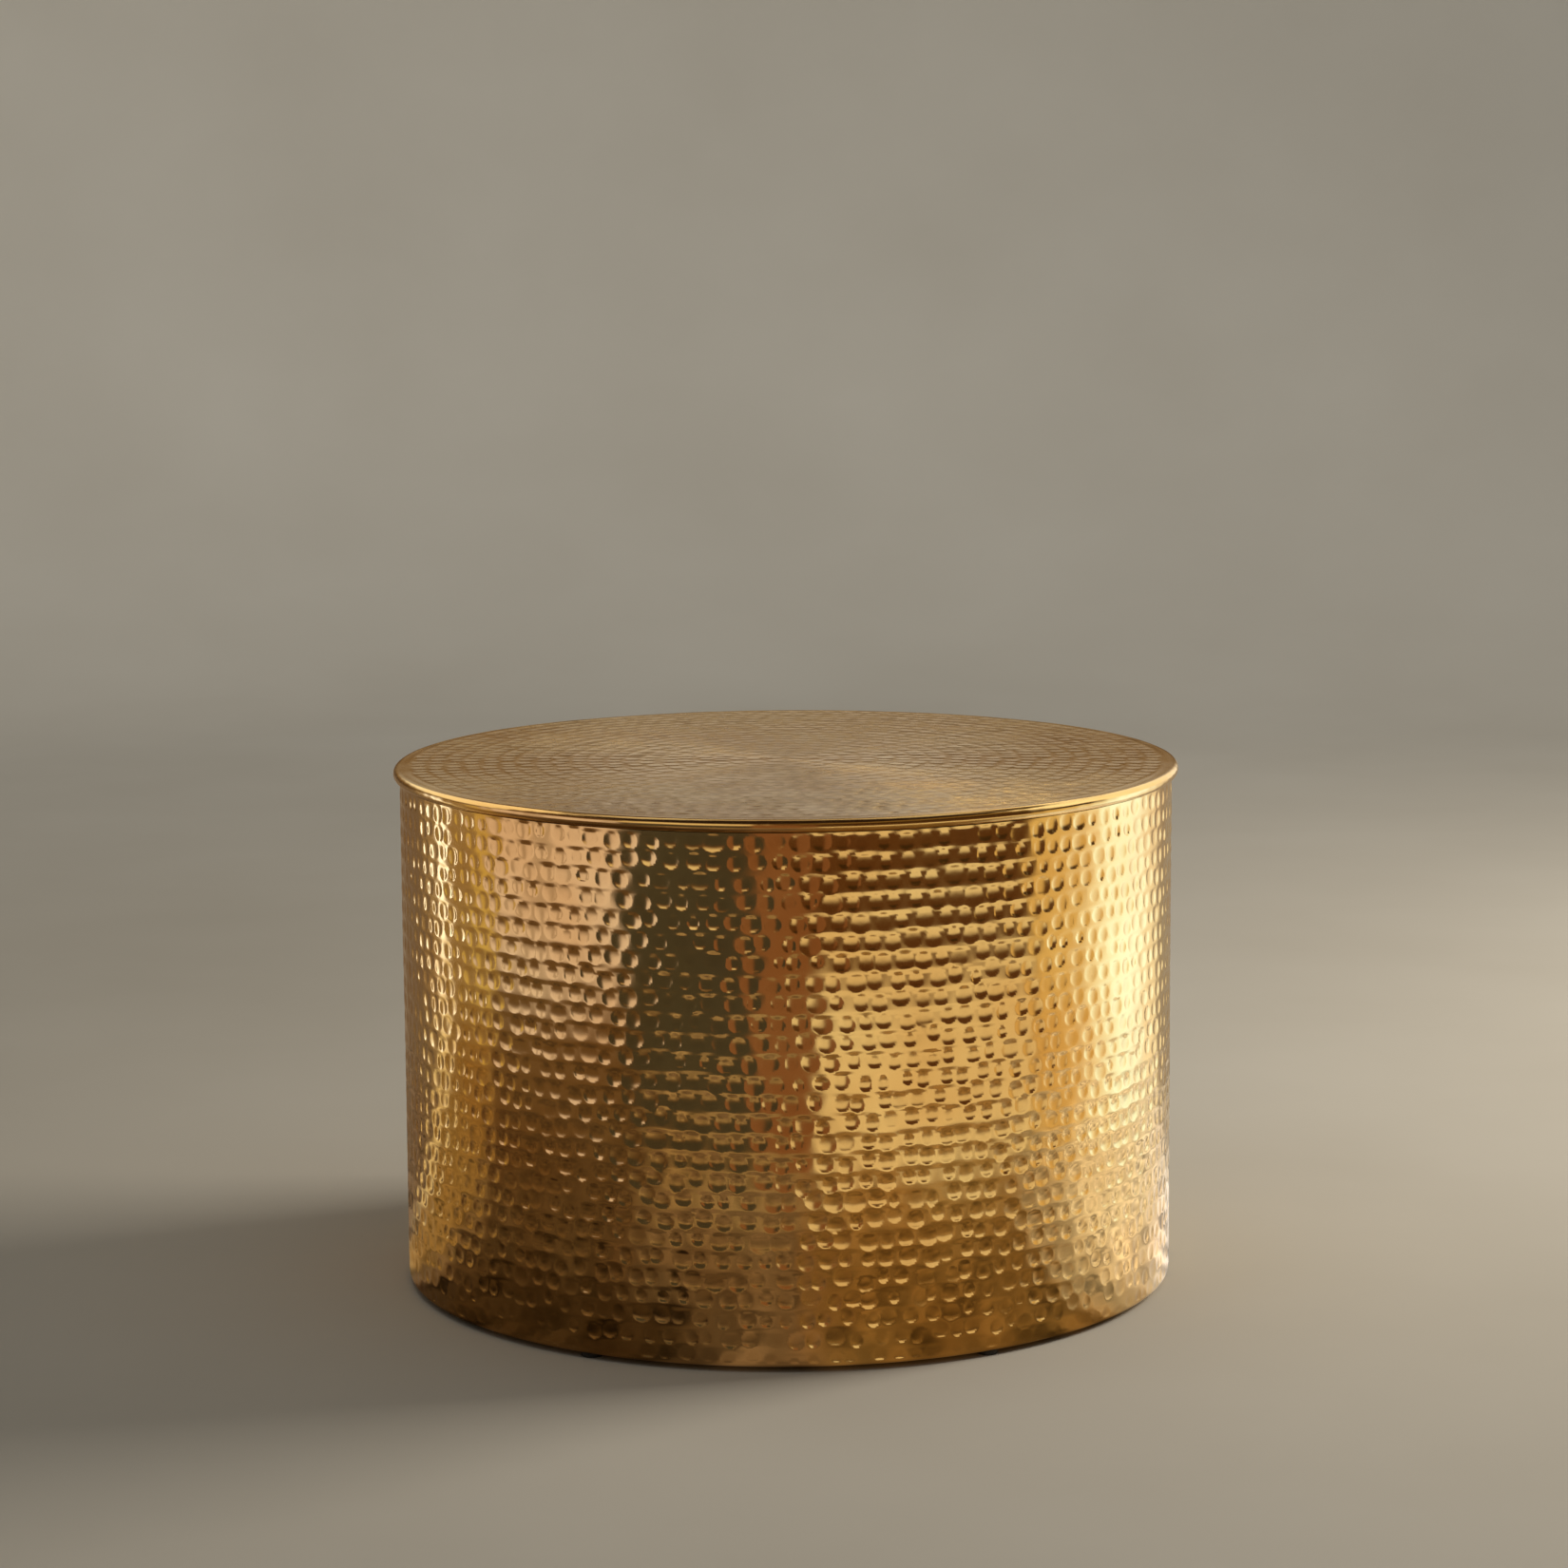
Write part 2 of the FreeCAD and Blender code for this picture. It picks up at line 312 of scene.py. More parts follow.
def wall_radius(angle, height):
    """The outer radius: the drum's, swollen a little between the rows, plus the slow waves, less the
    blows. All of it fades out just above the foot. It stays outside the steel ring in the drum's mouth."""
    depth, share = struck_depth(drum_blows, angle, height)
    fade = smooth_step(height, WALL_FOOT + FOOT_BEND, FULLY_STRUCK)
    struck = (SWELL + wall_wave(angle, height) - depth) * fade
    return DRUM_RADIUS + np.maximum(struck, -DEEPEST), share * fade


drum_count = drum_blows["count"][0]
print(f"{ROWS} rows of {drum_count} blows on the drum, {ROWS * drum_count} in all")

# %% [markdown]
# The outside gets its points and its directions from that formula. The slopes that give the directions
# are measured on it, half a millimetre apart.

# %% Outside of the wall
WALL_PARTS = 6
PART_COLUMNS = 220
OUTER_ROWS = 274
SEAM_GAP = 0.4 * MM
NUDGE = 0.25 * MM


def slope(surface, a, b, step_a, step_b):
    """How fast a surface's first value changes: its value one step on, less its value one step back,
    over the length between them."""
    return (surface(a + step_a, b + step_b)[0] - surface(a - step_a, b - step_b)[0]) / (2 * NUDGE)


def unit(vectors):
    """Vectors brought to length 1."""
    return vectors / np.linalg.norm(vectors, axis=-1, keepdims=True)


seam_half = SEAM_GAP / 2 / DRUM_RADIUS
wall_angles = np.linspace(
    math.pi / 2 + seam_half, 2.5 * math.pi - seam_half, WALL_PARTS * PART_COLUMNS + 1)
outer_heights = np.linspace(WALL_TOP, WALL_FOOT + FOOT_BEND, OUTER_ROWS)
angle, height = np.meshgrid(wall_angles, outer_heights)
outer_radius, outer_share = wall_radius(angle, height)
slope_round = slope(wall_radius, angle, height, NUDGE / DRUM_RADIUS, 0)
slope_up = slope(wall_radius, angle, height, 0, NUDGE)
outer_direction = unit(np.stack([
    np.cos(angle) + slope_round * np.sin(angle),
    np.sin(angle) - slope_round * np.cos(angle),
    -slope_up,
], -1))
print(f"deepest point of the wall {(DRUM_RADIUS - outer_radius.min()) / MM:.2f} mm in")

# %% [markdown]
# The sheet's whole section is then carried round: down the outside, round the foot bend, along the
# flange and up the inside, where the blows show as soft bumps. The flange and both bends are the same
# all round, so their section is a short list of radius and height.

# %% Foot and inside of the wall
INNER_ROWS = 132
FLANGE_WIDTH = 20.0 * MM
BEND_STEPS = 5
INSIDE_SHARE = 0.5
bend = np.linspace(0, math.pi / 2, BEND_STEPS + 1)[1:]
bend_radius = DRUM_RADIUS - FOOT_BEND
bend_height = WALL_FOOT + FOOT_BEND
flange_inner = DRUM_RADIUS - FLANGE_WIDTH
foot_radius = np.concatenate([
    bend_radius + FOOT_BEND * np.cos(bend), [flange_inner, flange_inner],
    bend_radius + (FOOT_BEND - SHEET) * np.sin(bend)])
foot_height = np.concatenate([
    bend_height - FOOT_BEND * np.sin(bend), [WALL_FOOT, WALL_FOOT + SHEET],
    bend_height - (FOOT_BEND - SHEET) * np.cos(bend)])

inner_heights = np.linspace(bend_height, WALL_TOP, INNER_ROWS)
inner_angle, inner_height = np.meshgrid(wall_angles, inner_heights[1:])
inner_struck, inner_share = wall_radius(inner_angle, inner_height)
inner_radius = DRUM_RADIUS - SHEET - INSIDE_SHARE * (DRUM_RADIUS - inner_struck)

columns = len(wall_angles)
section_radius = np.concatenate([outer_radius, np.tile(foot_radius[:, None], columns), inner_radius])
section_height = np.concatenate([height, np.tile(foot_height[:, None], columns), inner_height])
section_rows = len(section_radius)
wall_points = np.stack([
    section_radius * np.cos(wall_angles), section_radius * np.sin(wall_angles), section_height], -1)
wall_share = np.zeros(section_radius.shape)
wall_share[:OUTER_ROWS] = outer_share
wall_share[-len(inner_share):] = inner_share
wall_direction = np.zeros_like(wall_points)
wall_direction[:OUTER_ROWS] = outer_direction
print(f"section of {section_rows} points, carried round in {columns - 1} steps")

# %% [markdown]
# Six equal lengths of the wall keep each mesh a handy size. Each is closed at both ends, and carries
# along how deep in a bowl every point lies, for the finish to read.

# %% Six lengths of wall
def mark_struck(piece, share):
    """Stores how deep in a bowl each point lies, from 0 to 1."""
    struck = piece.data.attributes.new("struck", "FLOAT", "POINT")
    struck.data.foreach_set("value", share.astype(np.float32).ravel())


quads = grid_quads(section_rows, PART_COLUMNS + 1, closed_rows=True)
start_cap = np.arange(section_rows) * (PART_COLUMNS + 1)
end_cap = start_cap[::-1] + PART_COLUMNS
drum_parts = []
for part in range(WALL_PARTS):
    first = part * PART_COLUMNS
    some = slice(first, first + PART_COLUMNS + 1)
    piece = make_piece(
        f"drum_wall_{part + 1}", wall_points[:, some].reshape(-1, 3), quads,
        [start_cap[::-1], end_cap[::-1]],
        wall_direction[:, some].reshape(-1, 3), (OUTER_ROWS - 1) * PART_COLUMNS)
    mark_struck(piece, wall_share[:, some])
    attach(piece, "drum")
    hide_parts("drum_shell")
    drum_parts.append(piece)
print(f"{WALL_PARTS} lengths of wall, {2 * len(quads)} triangles each")

# %% [markdown]
# The lid's face is a disc struck in rings from the rim inwards. A polar grid would crowd its points at
# the centre and starve the rim, so the grid here is a square whose rings are bent into circles: the
# square's edge becomes the rim and every cell keeps about the same area. The rings of the grid then run
# along the rings of blows.

# %% Disc map
LID_CELLS = 308


def disc_map(cells):
    """Points of a unit disc on a square grid. Of a grid point (a, b) the larger coordinate is the
    radius, and the other one over it, times an eighth of a turn, is the angle inside that quarter."""
    line = np.linspace(-1, 1, cells + 1)
    a, b = np.meshgrid(line, line)
    flat = np.abs(a) >= np.abs(b)
    big, small = np.where(flat, a, b), np.where(flat, b, a)
    part = math.pi / 4 * np.divide(small, big, out=np.zeros_like(big), where=big != 0)
    return (np.where(flat, big * np.cos(part), big * np.sin(part)),
            np.where(flat, big * np.sin(part), big * np.cos(part)))


def edge_loop(cells):
    """Numbers of the disc map's edge points, once round against the clock."""
    row = cells + 1
    return np.concatenate([
        np.arange(0, cells), np.arange(cells, row * cells + cells, row),
        np.arange(row * row - 1, row * cells, -1), np.arange(row * cells, 0, -row)])


print(f"cells of the lid about {2 * ROLL_CENTRE / LID_CELLS / MM:.1f} mm wide")

# %% [markdown]
# The rim was rolled by hand over its wire, so it wanders up and down and in and out by a few tenths of
# a millimetre. The face follows the same wave near its edge, so that both meet in one line.

# %% Wave of the rim
RIM_ROUND = np.array([2, 3, 5, 7, 11, 17, 29, 46])
RIM_RISE = np.array([0.10, 0.08, 0.06, 0.05, 0.04, 0.03, 0.025, 0.02]) * MM
rim_turn = rng.uniform(0, 2 * np.pi, (2, len(RIM_ROUND)))


def rim_wave(angle, way):
    """Sum of cosines round the rim, for way 0 (height) or 1 (radius)."""
    phase = RIM_ROUND * angle[..., None] + rim_turn[way]
    return (RIM_RISE * np.cos(phase)).sum(-1)


print(f"the rim wanders by at most {RIM_RISE.sum() / MM:.2f} mm")

# %% [markdown]
# The blows on the lid are lighter than those on the drum, a quarter of a millimetre, and the grooves
# that join them into rings are as deep. Both stop just short of the rim.

# %% Rings of the lid
RING_PITCH = 13.6 * MM
FIRST_RING = 281.0 * MM
RINGS = 21
LID_BOWL = 0.26 * MM
LID_GROOVE = 0.26 * MM
LID_SWELL = 0.30 * MM
THINNEST = 0.15 * MM
SMOOTH_FROM = ROLL_CENTRE - 7 * MM
SMOOTH_TO = ROLL_CENTRE - 3 * MM
WAVE_FROM = 0.55 * ROLL_CENTRE
ring_radii = FIRST_RING - RING_PITCH * np.arange(RINGS)
lid_blows = strike_rows(ring_radii, ring_radii, LID_BOWL, LID_GROOVE)


def lid_height(x, y):
    """The face's height: the lid's top, swollen a little between the blows, which stop short of the rim,
    and following the rim's wave at the edge. The sheet stays above the board that it is glued to."""
    radius, angle = np.hypot(x, y), np.arctan2(y, x)
    depth, share = struck_depth(lid_blows, angle, radius)
    fade = 1 - smooth_step(radius, SMOOTH_FROM, SMOOTH_TO)
    edge = smooth_step(radius, WAVE_FROM, ROLL_CENTRE)
    struck = LID_TOP + (LID_SWELL - depth) * fade + rim_wave(angle, 0) * edge
    return np.maximum(struck, BOARD_TOP + THINNEST), share * fade


print(f"{RINGS} rings with {lid_blows['count'].sum()} blows on the lid")

# %% Strike the lid's face
disc_x, disc_y = (ROLL_CENTRE * c for c in disc_map(LID_CELLS))
disc_z, disc_share = lid_height(disc_x, disc_y)
slope_x = slope(lid_height, disc_x, disc_y, NUDGE, 0)
slope_y = slope(lid_height, disc_x, disc_y, 0, NUDGE)
face_direction = unit(np.stack([-slope_x, -slope_y, np.ones_like(slope_x)], -1)).reshape(-1, 3)

face_points = np.stack([disc_x, disc_y, disc_z], -1).reshape(-1, 3)
face_quads = grid_quads(LID_CELLS + 1, LID_CELLS + 1)[:, ::-1]
rim_loop = edge_loop(LID_CELLS)
under_points = face_points[rim_loop].copy()
under_points[:, 2] = BOARD_TOP
under_loop = len(face_points) + np.arange(len(rim_loop))
side_quads = np.stack([rim_loop, under_loop, np.roll(under_loop, -1), np.roll(rim_loop, -1)], -1)
lid_face = make_piece(
    "lid_face", np.concatenate([face_points, under_points]), np.concatenate([face_quads, side_quads]),
    [under_loop[::-1]], np.concatenate([face_direction, np.zeros_like(under_points)]), len(face_quads))
mark_struck(lid_face, np.concatenate([disc_share.ravel(), np.zeros(len(under_points))]))
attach(lid_face, "lid")
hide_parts("lid_sheet")
print(f"{2 * len(face_quads)} triangles on the lid's face")

# %% [markdown]
# The rolled rim is the same sheet taken over the wire and tucked in underneath. Its section is nearly a
# full circle of sheet, open only where the edge ends on the inside. It is carried once round the lid
# while the wave and the marks of the mallet that closed it change its place and size a little.

# %% Marks of the mallet
RIM_COLUMNS = 1240
MALLET_MARKS = 118
MALLET_DEPTH = 0.16 * MM
rim_angle = np.linspace(0, 2 * np.pi, RIM_COLUMNS, endpoint=False)
mark_depth = MALLET_DEPTH * rng.uniform(0.2, 1.0, MALLET_MARKS)
mark_place = rim_angle * MALLET_MARKS / (2 * np.pi)
mark = mark_depth[mark_place.astype(int) % MALLET_MARKS] * np.sin(np.pi * (mark_place % 1)) ** 2
print(f"{MALLET_MARKS} mallet marks, up to {mark.max() / MM:.2f} mm deep")

# %% Roll the rim
ROLL_START = math.radians(90)
ROLL_END = math.radians(-158)
ROLL_STEPS = 34
MALLET_SIDE = math.radians(15)
roll = np.linspace(ROLL_START, ROLL_END, ROLL_STEPS)
outer_section = np.stack([np.cos(roll), np.sin(roll)]) * ROLL_RADIUS
inner_section = np.stack([np.cos(roll[::-1]), np.sin(roll[::-1])]) * (ROLL_RADIUS - SHEET)
section = np.concatenate([outer_section, inner_section], 1)
flatten = np.clip(np.cos(np.concatenate([roll, roll[::-1]]) - MALLET_SIDE), 0, 1) ** 2
rim_radius = ROLL_CENTRE + rim_wave(rim_angle, 1)[None] * flatten[:, None] + section[0][:, None]
rim_radius = rim_radius - mark[None] * flatten[:, None]
rim_height = ROLL_HEIGHT + rim_wave(rim_angle, 0)[None] + section[1][:, None]
rim_points = np.stack([rim_radius * np.cos(rim_angle), rim_radius * np.sin(rim_angle), rim_height], -1)
rim_quads = grid_quads(len(rim_radius), RIM_COLUMNS, closed_rows=True, closed_columns=True)
lid_rim = make_piece("lid_rim", rim_points.reshape(-1, 3), rim_quads)
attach(lid_rim, "lid")
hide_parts("lid_sheet")
print(f"rolled rim of {2 * len(rim_quads)} triangles, outermost {rim_radius.max() / MM:.2f} mm")

# %% [markdown]
# Materials are graphs of nodes. One helper adds a node and links it; another turns the sRGB colours
# that a paint chart gives into the linear values that Blender works with; and a third turns a real size
# in millimetres into the scale of a pattern. A Mix node has many sockets of the same name, so those go
# by number: 0 is the share, 6 and 7 are the two colours, and output 2 is the mixed colour.

# %% Material helpers
def linear(colour):
    """An sRGB hex colour as linear red, green, blue and 1."""
    parts = [int(colour[i : i + 2], 16) / 255 for i in (1, 3, 5)]
    return (*[p / 12.92 if p <= 0.04045 else ((p + 0.055) / 1.055) ** 2.4 for p in parts], 1.0)


def add(tree, kind, inputs=None, **settings):
    """Adds one node. Settings are its own properties; inputs are values or other nodes' sockets."""
    made = tree.nodes.new(kind)
    for name, value in settings.items():
        setattr(made, name, value)
    for name, value in (inputs or {}).items():
        if isinstance(value, bpy.types.NodeSocket):
            tree.links.new(value, made.inputs[name])
        else:
            made.inputs[name].default_value = value
    return made


def per_size(size):
    """Scale of a pattern whose features are this many millimetres across."""
    return 1 / (size * MM)


def new_material(name):
    """An empty material, its tree, and the object coordinates that its patterns read."""
    material = bpy.data.materials.new(name)
    material.use_nodes = True
    material.node_tree.nodes.clear()
    tree = material.node_tree
    return material, tree, add(tree, "ShaderNodeTexCoord").outputs["Object"]


print("mid grey #808080 is", round(linear("#808080")[0], 3), "in linear light")

# %% [markdown]
# Brass for such drums is rolled sheet with about a third of zinc, struck, polished and lacquered.
# Polish gives a clear, slightly soft mirror; lacquer and handling leave clouds a hand wide where it is
# redder or duller; and the polishing wheel misses the bottoms of the bowls, which stay a shade darker.
# The metal's own colour does the rest, because a metal shows only what it mirrors.

# %% Polished hammered brass
CLOUD_SIZE = 110
WEAR_SIZE = 40
SPECK_SIZE = 3.5
# Grit marks of the last polish are far finer than a pixel, so they are drawn about 1.5 mm wide.
GRIT_SIZE = 1.5


def hammered_brass(name, bright, warm, dull, polish, dull_share=0.45, lacquer=0.0, turned=0.0):
    """Struck and polished sheet brass. `dull_share` is how dark the bowls' bottoms are left, `lacquer`
    how much of the clear coat is still there, and `turned` how strongly the finest scratches run in
    rings."""
    material, tree, place = new_material(name)
    clouds = add(tree, "ShaderNodeTexNoise", {
        "Vector": place, "Scale": per_size(CLOUD_SIZE), "Detail": 4.0})
    cloud_mix = add(tree, "ShaderNodeMapRange", {
        "Value": clouds.outputs["Fac"], "From Min": 0.38, "From Max": 0.66})
    tint = add(tree, "ShaderNodeMix", {
        0: cloud_mix.outputs["Result"], 6: linear(bright), 7: linear(warm)}, data_type="RGBA")
    struck = add(tree, "ShaderNodeAttribute", attribute_name="struck")
    specks = add(tree, "ShaderNodeTexNoise", {
        "Vector": place, "Scale": per_size(SPECK_SIZE), "Detail": 3.0})
    patina = add(tree, "ShaderNodeMath", {
        0: struck.outputs["Fac"], 1: specks.outputs["Fac"]}, operation="MULTIPLY")
    patina_share = add(tree, "ShaderNodeMath", {
        0: patina.outputs["Value"], 1: dull_share}, operation="MULTIPLY")
    colour = add(tree, "ShaderNodeMix", {
        0: patina_share.outputs["Value"], 6: tint.outputs[2], 7: linear(dull)}, data_type="RGBA")
    wear = add(tree, "ShaderNodeTexNoise", {
        "Vector": place, "Scale": per_size(WEAR_SIZE), "Detail": 5.0})
    rough = add(tree, "ShaderNodeMapRange", {
        "Value": wear.outputs["Fac"], "From Min": 0.3, "From Max": 0.7,
        "To Min": polish * 0.8, "To Max": polish * 1.35})
    grit = add(tree, "ShaderNodeTexNoise", {
        "Vector": place, "Scale": per_size(GRIT_SIZE), "Detail": 2.0})
    bump = add(tree, "ShaderNodeBump", {
        "Height": grit.outputs["Fac"], "Strength": 0.12, "Distance": 0.04 * MM})
    brass = add(tree, "ShaderNodeBsdfPrincipled", {
        "Base Color": colour.outputs[2], "Metallic": 1.0, "Roughness": rough.outputs["Result"],
        "Normal": bump.outputs["Normal"], "Anisotropic": turned, "Anisotropic Rotation": 0.25,
        "Coat Weight": lacquer, "Coat Roughness": 0.10})
    if turned:
        rings = add(tree, "ShaderNodeTangent", direction_type="RADIAL", axis="Z")
        tree.links.new(rings.outputs["Tangent"], brass.inputs["Tangent"])
    add(tree, "ShaderNodeOutputMaterial", {"Surface": brass.outputs["BSDF"]})
    return material


drum_brass = hammered_brass("polished_hammered_brass", "#E9CB8F", "#DFB778", "#96703C", 0.12, 0.22)
lid_brass = hammered_brass(
    "wheel_polished_brass", "#E8C98A", "#DFBA78", "#7A532C", 0.21, 0.35, 0.25, 0.85)
rim_brass = hammered_brass("rolled_rim_brass", "#E6C88C", "#DDB87A", "#B08A55", 0.15)
inside_brass = hammered_brass("unpolished_sheet_brass", "#CBAA6C", "#B98E58", "#94703F", 0.42)
print("four brass finishes")

# %% [markdown]
# The outside of the drum is polished and its inside isn't, so each length of wall carries both
# finishes, and the faces from the middle of the foot up the inside take the second one.

# %% Dress the brass
inside_first = (OUTER_ROWS + len(foot_radius) // 2) * PART_COLUMNS
inside_end = (section_rows - 1) * PART_COLUMNS
for piece in drum_parts:
    piece.data.materials.append(drum_brass)
    piece.data.materials.append(inside_brass)
    faces = np.zeros(len(piece.data.polygons), np.int32)
    faces[inside_first:inside_end] = 1
    piece.data.polygons.foreach_set("material_index", faces)
lid_face.data.materials.append(lid_brass)
lid_rim.data.materials.append(rim_brass)


def dress(node, material):
    """A CAD node keeps its mesh and takes this material."""
    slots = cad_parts[node].data.materials
    slots.clear()
    slots.append(material)


dress("seam_strap", inside_brass)
print("brass on", len(drum_parts), "lengths of wall, lid face, rim and seam strap")

# %% [markdown]
# Birch plywood shows two faces: long, faint grain on its flat sides, and thin light and dark layers on
# its edge. Both are drawn in one material, which looks at whether the surface faces up or sideways.

# %% Birch plywood
PLY = 1.4
GRAIN_SIZE = 5
FLAME_SIZE = 45
PORE_SIZE = 2


def birch_plywood():
    """Sanded, clear-sealed birch plywood: grain stretched along X on flat faces, layers by height on
    edges."""
    material, tree, place = new_material("sealed_birch_plywood")
    stretched = add(tree, "ShaderNodeMapping", {"Vector": place, "Scale": (0.06, 1.0, 1.0)})
    grain = add(tree, "ShaderNodeTexNoise", {
        "Vector": stretched.outputs["Vector"], "Scale": per_size(GRAIN_SIZE), "Detail": 6.0,
        "Distortion": 0.6})
    flame = add(tree, "ShaderNodeTexNoise", {
        "Vector": stretched.outputs["Vector"], "Scale": per_size(FLAME_SIZE), "Detail": 3.0,
        "Distortion": 1.4})
    grain_sum = add(tree, "ShaderNodeMath", {
        0: grain.outputs["Fac"], 1: flame.outputs["Fac"]}, operation="ADD")
    grain_mix = add(tree, "ShaderNodeMapRange", {
        "Value": grain_sum.outputs["Value"], "From Min": 0.75, "From Max": 1.3})
    flat = add(tree, "ShaderNodeMix", {
        0: grain_mix.outputs["Result"], 6: linear("#DDBF93"), 7: linear("#B98F5E")}, data_type="RGBA")
    split = add(tree, "ShaderNodeSeparateXYZ", {"Vector": place})
    layer = add(tree, "ShaderNodeMath", {
        0: split.outputs["Z"], 1: math.pi * per_size(PLY)}, operation="MULTIPLY")
    layer_wave = add(tree, "ShaderNodeMath", {0: layer.outputs["Value"]}, operation="SINE")
    pores = add(tree, "ShaderNodeTexNoise", {
        "Vector": place, "Scale": per_size(PORE_SIZE), "Detail": 3.0})
    layer_sum = add(tree, "ShaderNodeMath", {
        0: layer_wave.outputs["Value"], 1: pores.outputs["Fac"]}, operation="ADD")
    layer_mix = add(tree, "ShaderNodeMapRange", {
        "Value": layer_sum.outputs["Value"], "From Min": 0.1, "From Max": 0.9})
    edge = add(tree, "ShaderNodeMix", {
        0: layer_mix.outputs["Result"], 6: linear("#8A6038"), 7: linear("#D3B184")}, data_type="RGBA")
    surface = add(tree, "ShaderNodeNewGeometry")
    facing = add(tree, "ShaderNodeSeparateXYZ", {"Vector": surface.outputs["Normal"]})
    upright = add(tree, "ShaderNodeMath", {0: facing.outputs["Z"]}, operation="ABSOLUTE")
    is_flat = add(tree, "ShaderNodeMath", {
        0: upright.outputs["Value"], 1: 0.9}, operation="GREATER_THAN")
    colour = add(tree, "ShaderNodeMix", {
        0: is_flat.outputs["Value"], 6: edge.outputs[2], 7: flat.outputs[2]}, data_type="RGBA")
    bump = add(tree, "ShaderNodeBump", {
        "Height": grain.outputs["Fac"], "Strength": 0.25, "Distance": 0.15 * MM})
    rough = add(tree, "ShaderNodeMapRange", {
        "Value": grain.outputs["Fac"], "To Min": 0.42, "To Max": 0.6})
    wood = add(tree, "ShaderNodeBsdfPrincipled", {
        "Base Color": colour.outputs[2], "Roughness": rough.outputs["Result"],
        "Normal": bump.outputs["Normal"]})
    add(tree, "ShaderNodeOutputMaterial", {"Surface": wood.outputs["BSDF"]})
    return material


plywood = birch_plywood()
dress("base_board", plywood)
dress("lid_board", plywood)
print("plywood on both boards, plies", PLY, "mm")

# %% [markdown]
# The small parts each get their own finish: the bent steel angle keeps its dark mill skin under
# lacquer, the screws are zinc plated, the pads are pressed felt and the glides are moulded nylon. They
# differ in two colours, in how rough they are and in the size of their grain, so one function with those
# values makes all four.

# %% Small parts
def grained(name, light, dark, grain, rough_low, rough_high, relief, metal):
    """A material of two colours mixed by a grain of this size in millimetres, which also sets roughness
    and relief. A second grain, twelve times as broad, clouds it."""
    material, tree, place = new_material(name)
    fine = add(tree, "ShaderNodeTexNoise", {"Vector": place, "Scale": per_size(grain), "Detail": 4.0})
    broad = add(tree, "ShaderNodeTexNoise", {
        "Vector": place, "Scale": per_size(12 * grain), "Detail": 3.0})
    both = add(tree, "ShaderNodeMath", {
        0: fine.outputs["Fac"], 1: broad.outputs["Fac"]}, operation="ADD")
    share = add(tree, "ShaderNodeMapRange", {
        "Value": both.outputs["Value"], "From Min": 0.7, "From Max": 1.3})
    colour = add(tree, "ShaderNodeMix", {
        0: share.outputs["Result"], 6: linear(light), 7: linear(dark)}, data_type="RGBA")
    rough = add(tree, "ShaderNodeMapRange", {
        "Value": both.outputs["Value"], "From Min": 0.6, "From Max": 1.4,
        "To Min": rough_low, "To Max": rough_high})
    bump = add(tree, "ShaderNodeBump", {
        "Height": fine.outputs["Fac"], "Strength": 0.5, "Distance": relief * MM})
    surface = add(tree, "ShaderNodeBsdfPrincipled", {
        "Base Color": colour.outputs[2], "Metallic": metal, "Roughness": rough.outputs["Result"],
        "Normal": bump.outputs["Normal"]})
    add(tree, "ShaderNodeOutputMaterial", {"Surface": surface.outputs["BSDF"]})
    return material


mill_steel = grained("lacquered_mill_steel", "#8B8680", "#5E5A56", 4.0, 0.32, 0.5, 0.05, 1.0)
zinc_steel = grained("zinc_plated_steel", "#D3D5D6", "#A9ACB0", 1.2, 0.25, 0.4, 0.02, 1.0)
felt = grained("pressed_wool_felt", "#4A4845", "#26251F", 0.6, 0.9, 1.0, 0.3, 0.0)
nylon = grained("moulded_black_nylon", "#33322F", "#1E1D1C", 1.0, 0.45, 0.6, 0.05, 0.0)
small_parts = {"top_ring": mill_steel, "rim_wire": mill_steel, "glide_screws": zinc_steel}
for number in range(1, 7):
    small_parts[f"lid_pad_{number}"] = felt
    small_parts[f"glide_{number}"] = nylon
for node, material in small_parts.items():
    dress(node, material)
print("steel, zinc, felt and nylon on", len(small_parts), "CAD nodes")

# %% [markdown]
# The stage is a wide, shallow bowl of pale plaster: a level floor that sweeps up into a round wall
# beyond the camera, so that the table can be seen from any side against the same plain ground. It is the
# disc map again, with the distance along the bowl's section as its radius.

# %% Floor and sweep
FLOOR_RADIUS = 3.2
SWEEP_RADIUS = 1.4
WALL_RISE = 0.6
STAGE_CELLS = 120
arc = SWEEP_RADIUS * math.pi / 2
run = FLOOR_RADIUS + arc + WALL_RISE
bowl_x, bowl_y = disc_map(STAGE_CELLS)
along = np.hypot(bowl_x, bowl_y) * run
turned = np.clip((along - FLOOR_RADIUS) / SWEEP_RADIUS, 0, math.pi / 2)
reach = np.minimum(along, FLOOR_RADIUS) + SWEEP_RADIUS * np.sin(turned)
rise = SWEEP_RADIUS * (1 - np.cos(turned)) + np.maximum(along - FLOOR_RADIUS - arc, 0)
scale = np.divide(reach, along / run, out=np.zeros_like(reach), where=along > 0)
bowl_points = np.stack([bowl_x * scale, bowl_y * scale, rise], -1).reshape(-1, 3)
bowl_quads = grid_quads(STAGE_CELLS + 1, STAGE_CELLS + 1)[:, ::-1]
ground = make_piece("floor_and_sweep", bowl_points, bowl_quads)
print(f"floor {2 * FLOOR_RADIUS:.1f} m across, wall of the sweep at {FLOOR_RADIUS + SWEEP_RADIUS:.1f} m")

# %% [markdown]
# Plaster is matt and faintly mottled by the trowel. The wall of the sweep stands far from the lamps, so
# for the eye and in reflections it is lifted to the floor's brightness.

